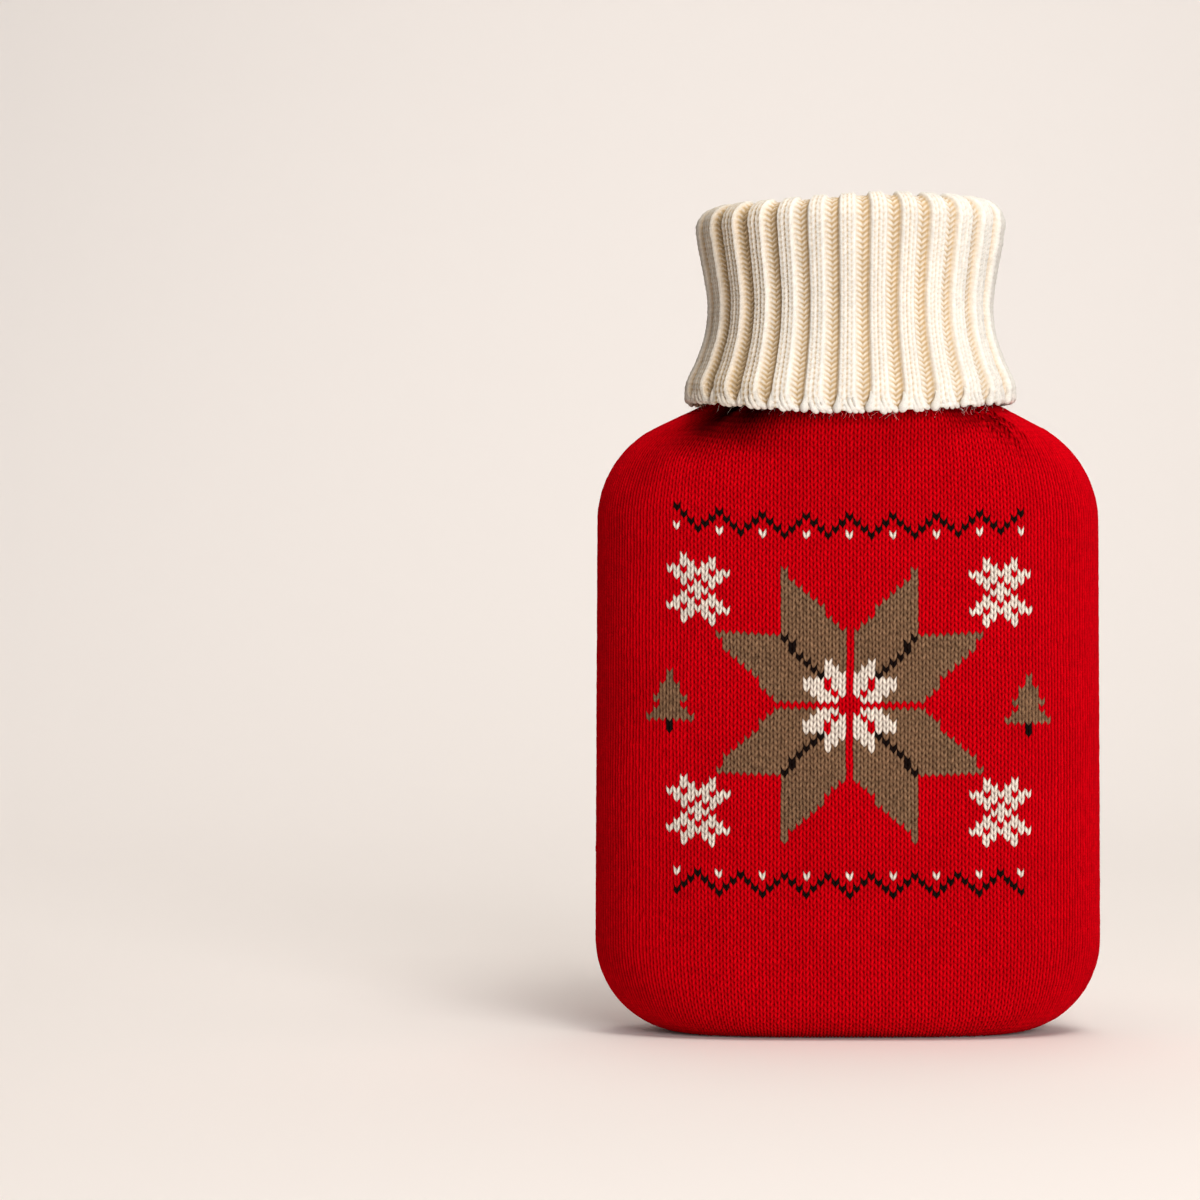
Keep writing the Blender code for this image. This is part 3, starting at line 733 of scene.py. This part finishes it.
def rib_knitting():
    """A closed ribbed tube: stitches on its visible face, a plain hidden face, and two edges."""
    per_rib = len(RIB)
    columns = np.arange(RIB_COUNT * per_rib)
    rows = np.arange(RIB_COURSES * ROWS_PER_COURSE + 1)[:, None]
    course = rows / ROWS_PER_COURSE
    column = RIB[columns % per_rib]
    to_hem = smoothstep(RIB_COURSES - SWEEP_COURSES, RIB_COURSES + SWEEP_PAST, course)
    swept = np.interp(column["place"], SWEEP["from"], SWEEP["to"])
    place = column["place"] + (swept - column["place"]) * to_hem**SWEEP_EASE
    shares = (columns // per_rib + RIB_OFFSET + place) / RIB_COUNT
    from_edge = np.clip(np.minimum(rows, rows[-1] - rows) / EDGE_ROWS, 0.0, 1.0)
    up = (course - column["lift"] * from_edge) / RIB_COURSES
    depth = np.where(rows % ROWS_PER_COURSE == 0, column["edge"], column["middle"])
    random = np.random.default_rng(RIB_SEED)
    legs = random.normal(size=(RIB_COURSES, len(columns) // 2))
    legs = np.repeat(np.repeat(legs, ROWS_PER_COURSE, axis=0), 2, axis=1)
    legs = np.pad(legs, ((0, 1), (0, 0)), mode="edge").clip(-2, 2)
    raised = RIB_CLOTH / 2 + RIB_RELIEF * column["stand"] - MM * depth - RIB_UNEVENNESS * (1.0 + legs)
    profile = neck_profile()
    visible, _ = ribbed_tube(profile, shares, up, raised)
    coarse = (slice(None, None, COARSE), slice(None, None, COARSE))
    straight_up = np.broadcast_to(rows / rows[-1], up.shape)[coarse]
    hidden, _ = ribbed_tube(profile, shares[coarse], straight_up, np.full(straight_up.shape, -RIB_CLOTH / 2))

    stitches = np.stack(np.broadcast_arrays(columns / COLUMNS_PER_WALE, course), axis=2)
    # Painted shade in the hollows of the courses and the valleys, more of it to the left and less to the
    # right
    hollow = COURSE_HOLLOW * depth + VALLEY_HOLLOW * (1.0 - column["stand"])
    hollow = painted_side_shade(hollow.clip(0.0, DEEPEST_HOLLOW), visible)
    visible_at = np.arange(visible.shape[0] * visible.shape[1]).reshape(visible.shape[:2])
    hidden_at = visible_at.size + np.arange(hidden.shape[0] * hidden.shape[1]).reshape(hidden.shape[:2])
    quads = np.concatenate([quads_of(visible_at, wrap=True)[:, ::-1], quads_of(hidden_at, wrap=True)])
    strips = np.concatenate([
        border_strip(visible_at[0], hidden_at[0])[:, ::-1],
        border_strip(visible_at[-1], hidden_at[-1]),
    ])
    return knitted_object(
        "roll_neck_knitting",
        np.concatenate([visible.reshape(-1, 3), hidden.reshape(-1, 3)]),
        np.concatenate([hollow.ravel(), np.full(hidden_at.size, HIDDEN_HOLLOW)]),
        np.concatenate([stitches.reshape(-1, 2), stitches[coarse].reshape(-1, 2)]),
        quads, np.repeat([CREAM], len(quads), axis=0), strips, np.repeat([CREAM], len(strips), axis=0),
    )


cream_wool = wool(
    "cream_wool", leg_shade=0.10, hollow_shade=0.22, hollow_tint=(0.89, 0.65, 0.38, 0.85),
    sheen=(1.0, 0.95, 0.88, 0.08),
)
roll_neck = rib_knitting()
roll_neck.data.materials.append(cream_wool)
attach(roll_neck, "root")
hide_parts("roll_neck")

# ------------------------------------------------------------------------------------------------------------
# Cast-off edge. The last stitches of the roll neck, chained off one over the next: on every rib a round loop
# at the ridge's left foot, and a short, a middle and a long one that sweep down to the right from its middle
# and its right half. A few stray fibres of the yarn hang from it.
# ------------------------------------------------------------------------------------------------------------
# Each loop's path. place is in ribs from the ridge's middle, above is the height over the hem, out is how far
# the yarn's middle stands off the cloth's middle, and radius is the yarn's own
LOOP_COLUMNS = [("place", "f8"), ("above", "f8"), ("out", "f8"), ("radius", "f8")]
LONG_LOOP = np.array(
    [(0.215, 0.0070, 0.0012, 0.00075), (0.235, 0.0054, 0.0023, 0.00092), (0.280, 0.0037, 0.0025, 0.00104),
     (0.345, 0.0021, 0.0023, 0.00112), (0.430, 0.0008, 0.0018, 0.00116), (0.515, 0.0000, 0.0013, 0.00112),
     (0.580, 0.0000, 0.0006, 0.00070)],
    dtype=LOOP_COLUMNS,
)
MIDDLE_LOOP = np.array(
    [(0.090, 0.0060, 0.0012, 0.00075), (0.108, 0.0044, 0.0024, 0.00092), (0.150, 0.0029, 0.0027, 0.00104),
     (0.210, 0.0014, 0.0026, 0.00114), (0.280, 0.0003, 0.0021, 0.00114), (0.350, -0.0002, 0.0014, 0.00100),
     (0.395, -0.0001, 0.0006, 0.00050)],
    dtype=LOOP_COLUMNS,
)
SHORT_LOOP = np.array(
    [(-0.045, 0.0045, 0.0012, 0.00075), (-0.025, 0.0031, 0.0025, 0.00095), (0.020, 0.0016, 0.0028, 0.00108),
     (0.080, 0.0003, 0.0026, 0.00116), (0.145, -0.0003, 0.0020, 0.00108), (0.200, -0.0002, 0.0010, 0.00050)],
    dtype=LOOP_COLUMNS,
)
ROUND_LOOP = np.array(
    [(-0.225, 0.0070, 0.0010, 0.00075), (-0.230, 0.0052, 0.0021, 0.00098), (-0.242, 0.0034, 0.0024, 0.00128),
     (-0.258, 0.0019, 0.0022, 0.00172), (-0.264, 0.0005, 0.0019, 0.00172), (-0.260, -0.0004, 0.0015, 0.00112),
     (-0.256, -0.0008, 0.0013, 0.00035)],
    dtype=LOOP_COLUMNS,
)
LOOP_STEPS = 4
LOOP_SIDES = 10

# How loops differ: sideways in ribs, in height, and in thickness. LOOP_HOLLOW is the painted shade of a
# loop's front, and BEHIND_HOLLOW the painted shade that its far side, towards the cloth, has more. The stitch
# map counts four rings of points as a course
LOOP_SHIFT, LOOP_UNEVENNESS, LOOP_SWELL, UNEVEN_LIMIT = 0.02, 0.00022, 0.08, 1.8
LOOP_HOLLOW, BEHIND_HOLLOW = 0.15, 0.65
RINGS_PER_COURSE = 4
EDGE_SEED = 41

# Stray fibres: shortest and longest, where one starts above the hem and out of the cloth's middle, how far it
# swings to a side, waves and curls outwards as shares of its length, and how it droops and tapers
FIBRE_COUNT = 170
FIBRE_STEPS = 7
FIBRE_RADIUS = 0.000030
FIBRE_LENGTH = (0.0010, 0.0048)
FIBRE_ABOVE, FIBRE_OUT = 0.0004, 0.0016
FIBRE_SPREAD = np.array([[0.7], [0.12], [0.2]])
FIBRE_CURL = 0.1
FIBRE_DROOP, FIBRE_TAPER = 1.3, 0.6


def hem_points(profile, shares, above, out):
    """Points above the hem and out from the middle of the cloth by so much, at shares of the way round."""
    length = np.hypot(np.diff(profile[:, 0]), np.diff(profile[:, 1])).sum()
    points, normals = ribbed_tube(profile, shares, 1.0 - np.maximum(above, 0.0) / length, out)
    points[:, :, 2] += np.minimum(above, 0.0)
    return points, normals


def yarn_tubes(paths, outward, radius):
    """Tubes along many paths at once: rings of points, quads between them and triangles that close the ends.

    paths is steps by tubes. A ring lies across its path, turned so that its first point looks outward.
    """
    along = unit(np.gradient(paths, axis=0))
    across = unit(np.cross(along, outward))
    up = np.cross(across, along)
    turn = np.linspace(0.0, 2 * np.pi, LOOP_SIDES, endpoint=False)
    ring = up[:, :, None] * np.cos(turn)[:, None] + across[:, :, None] * np.sin(turn)[:, None]
    points = paths[:, :, None] + ring * radius[:, :, None, None]
    index = np.arange(points.size // 3).reshape(points.shape[:3])
    quads = np.concatenate([quads_of(index[:, tube], wrap=True) for tube in range(paths.shape[1])])
    first, last = index[0], index[-1]
    sides = np.arange(1, LOOP_SIDES - 1)
    ends = [
        np.stack([end[:, :1] + 0 * sides, end[:, sides + a], end[:, sides + b]], axis=2).reshape(-1, 3)
        for end, a, b in ((first, 1, 0), (last, 0, 1))
    ]
    return points.reshape(-1, 3), quads, np.concatenate(ends)


def stray_fibres(profile, random):
    """Fine hairs round the hem. Each falls by its length, swings to a side, waves once and curls outwards."""
    down = np.linspace(0.0, 1.0, FIBRE_STEPS)[:, None]
    length = random.uniform(*FIBRE_LENGTH, FIBRE_COUNT)
    swing, wave, curl = random.normal(size=(3, FIBRE_COUNT)) * FIBRE_SPREAD
    curl = curl + FIBRE_CURL
    sideways = length * (swing * down + wave * np.sin(2 * np.pi * down)) / (RIB_COUNT * RIB_WIDTH)
    shares = random.uniform(size=FIBRE_COUNT) + sideways
    above = FIBRE_ABOVE - length * down**FIBRE_DROOP
    centres, outward = hem_points(profile, shares, above, FIBRE_OUT + length * curl * down)
    return yarn_tubes(centres, outward, FIBRE_RADIUS * (1.0 - FIBRE_TAPER * down) + 0.0 * shares)


def cast_off():
    """All the loops and stray fibres of the cast-off edge, joined in one mesh."""
    profile = neck_profile()
    random = np.random.default_rng(EDGE_SEED)
    ribs = np.arange(RIB_COUNT)
    parts, count = [], 0
    for loop in (LONG_LOOP, MIDDLE_LOOP, SHORT_LOOP, ROUND_LOOP):
        knots = np.stack([loop["place"] * RIB_WIDTH, loop["above"], loop["out"], loop["radius"]], axis=1)
        path = smooth_through(knots, LOOP_STEPS)
        centres, outward = [], []
        uneven = random.normal(size=(3, RIB_COUNT)).clip(-UNEVEN_LIMIT, UNEVEN_LIMIT)
        for place, above, out, _ in path:
            shares = (ribs + RIB_OFFSET + place / RIB_WIDTH + LOOP_SHIFT * uneven[0]) / RIB_COUNT
            lifted = np.full((1, RIB_COUNT), above) + LOOP_UNEVENNESS * uneven[1]
            at, normal = hem_points(profile, shares, lifted, np.full((1, RIB_COUNT), out))
            centres.append(at[0])
            outward.append(normal[0])
        radius = path[:, 3:] * (1.0 + LOOP_SWELL * uneven[2])
        points, quads, ends = yarn_tubes(np.array(centres), np.array(outward), radius)
        parts.append((points, quads + count, ends + count))
        count += len(points)
    points, quads, ends = stray_fibres(profile, random)
    parts.append((points, quads + count, ends + count))
    points, quads, ends = (np.concatenate(part) for part in zip(*parts))
    number = np.arange(len(points))
    stitches = np.stack([number % LOOP_SIDES / LOOP_SIDES, number // LOOP_SIDES / RINGS_PER_COURSE], axis=1)
    # Painted shade on each loop, deeper on its far side
    behind = (1.0 - np.cos(2 * np.pi * number / LOOP_SIDES)) / 2.0
    return knitted_object(
        "cast_off_edge", points, painted_side_shade(LOOP_HOLLOW + BEHIND_HOLLOW * behind, points), stitches,
        quads, np.repeat([CREAM], len(quads), axis=0), ends, np.repeat([CREAM], len(ends), axis=0))


cast_off_edge = cast_off()
cast_off_edge.data.materials.append(cream_wool)
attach(cast_off_edge, "root")

# ------------------------------------------------------------------------------------------------------------
# Floor and backdrop. One wide sheet of matt, warm white paper, which lies flat under the cover and sweeps
# up behind it in a quarter circle.
# ------------------------------------------------------------------------------------------------------------
FLOOR_HALF_WIDTH, FLOOR_FRONT, BACKDROP_TOP = 6.0, -4.0, 5.0
CURVE_START, CURVE_RADIUS, CURVE_STEPS = 0.9, 1.6, 24
STUDIO_WHITE = (0.893, 0.838, 0.806, 1.0)
PAPER_ROUGHNESS = 0.9

bend = np.linspace(0.0, np.pi / 2, CURVE_STEPS)
curve_y = CURVE_START + CURVE_RADIUS * np.sin(bend)
paper_y = np.concatenate([[FLOOR_FRONT], curve_y, curve_y[-1:]])
paper_z = np.concatenate([[0.0], CURVE_RADIUS * (1.0 - np.cos(bend)), [BACKDROP_TOP]])
paper_x = np.array([[-FLOOR_HALF_WIDTH, FLOOR_HALF_WIDTH]])
sweep = np.stack(np.broadcast_arrays(paper_x, paper_y[:, None], paper_z[:, None]), axis=2)
sweep_quads = quads_of(np.arange(sweep.size // 3).reshape(-1, 2))
backdrop_mesh = bpy.data.meshes.new("studio_sweep")
backdrop_mesh.from_pydata(sweep.reshape(-1, 3).tolist(), [], sweep_quads.tolist())
backdrop_mesh.shade_smooth()
backdrop = bpy.data.objects.new("studio_sweep", backdrop_mesh)
bpy.context.scene.collection.objects.link(backdrop)
paper = bpy.data.materials.new("studio_paper")
paper.use_nodes = True
paper_shader = paper.node_tree.nodes["Principled BSDF"]
paper_shader.inputs["Base Color"].default_value = STUDIO_WHITE
paper_shader.inputs["Roughness"].default_value = PAPER_ROUGHNESS
backdrop_mesh.materials.append(paper)

# ------------------------------------------------------------------------------------------------------------
# Light and camera. Soft lights from the front right, from high on the right and from above, one on the
# backdrop, and a weak even surround. The camera stands level, in front of the cover and to its left.
# ------------------------------------------------------------------------------------------------------------
# Each light's name, place, target, width and height, power in watts, and colour
LIGHTS = (
    ("front", (0.60, -2.00, 0.60), (0.0, 0.0, 0.17), (1.2, 1.0), 35.0, (1.0, 1.0, 1.0)),
    ("high", (0.55, -1.00, 2.10), (0.0, 0.0, 0.17), (0.8, 0.8), 14.5, (1.0, 0.965, 0.91)),
    ("top", (0.20, -0.20, 2.20), (0.0, 0.0, 0.00), (1.6, 1.6), 24.0, (1.0, 0.955, 0.89)),
    ("backdrop", (-0.20, 0.90, 1.60), (-0.6, 2.2, 0.3), (3.0, 0.8), 16.0, (1.0, 0.985, 0.96)),
)
SURROUND = (1.0, 0.98, 0.96, 1.0)
SURROUND_STRENGTH = 0.04
CAMERA_PLACE = (-0.1045, -1.4000, 0.1823)
FRAME_WIDTH, SENSOR = 0.5075, 36.0

for name, place, target, size, power, colour in LIGHTS:
    lamp = bpy.data.lights.new(name, "AREA")
    lamp.shape, lamp.energy, lamp.color = "RECTANGLE", power, colour
    lamp.size, lamp.size_y = size
    light = bpy.data.objects.new(name, lamp)
    light.location = place
    light.rotation_euler = (Vector(target) - Vector(place)).to_track_quat("-Z", "Y").to_euler()
    bpy.context.scene.collection.objects.link(light)

world = bpy.data.worlds.new("studio_light")
world.use_nodes = True
surround = world.node_tree.nodes["Background"]
surround.inputs["Color"].default_value = SURROUND
surround.inputs["Strength"].default_value = SURROUND_STRENGTH
bpy.context.scene.world = world

camera_data = bpy.data.cameras.new("camera")
camera_data.sensor_width = SENSOR
camera_data.lens = SENSOR * -CAMERA_PLACE[1] / FRAME_WIDTH
camera = bpy.data.objects.new("camera", camera_data)
camera.location = CAMERA_PLACE
camera.rotation_euler = (np.pi / 2, 0.0, 0.0)
bpy.context.scene.collection.objects.link(camera)
bpy.context.scene.camera = camera
bpy.context.scene.view_settings.view_transform = "Standard"
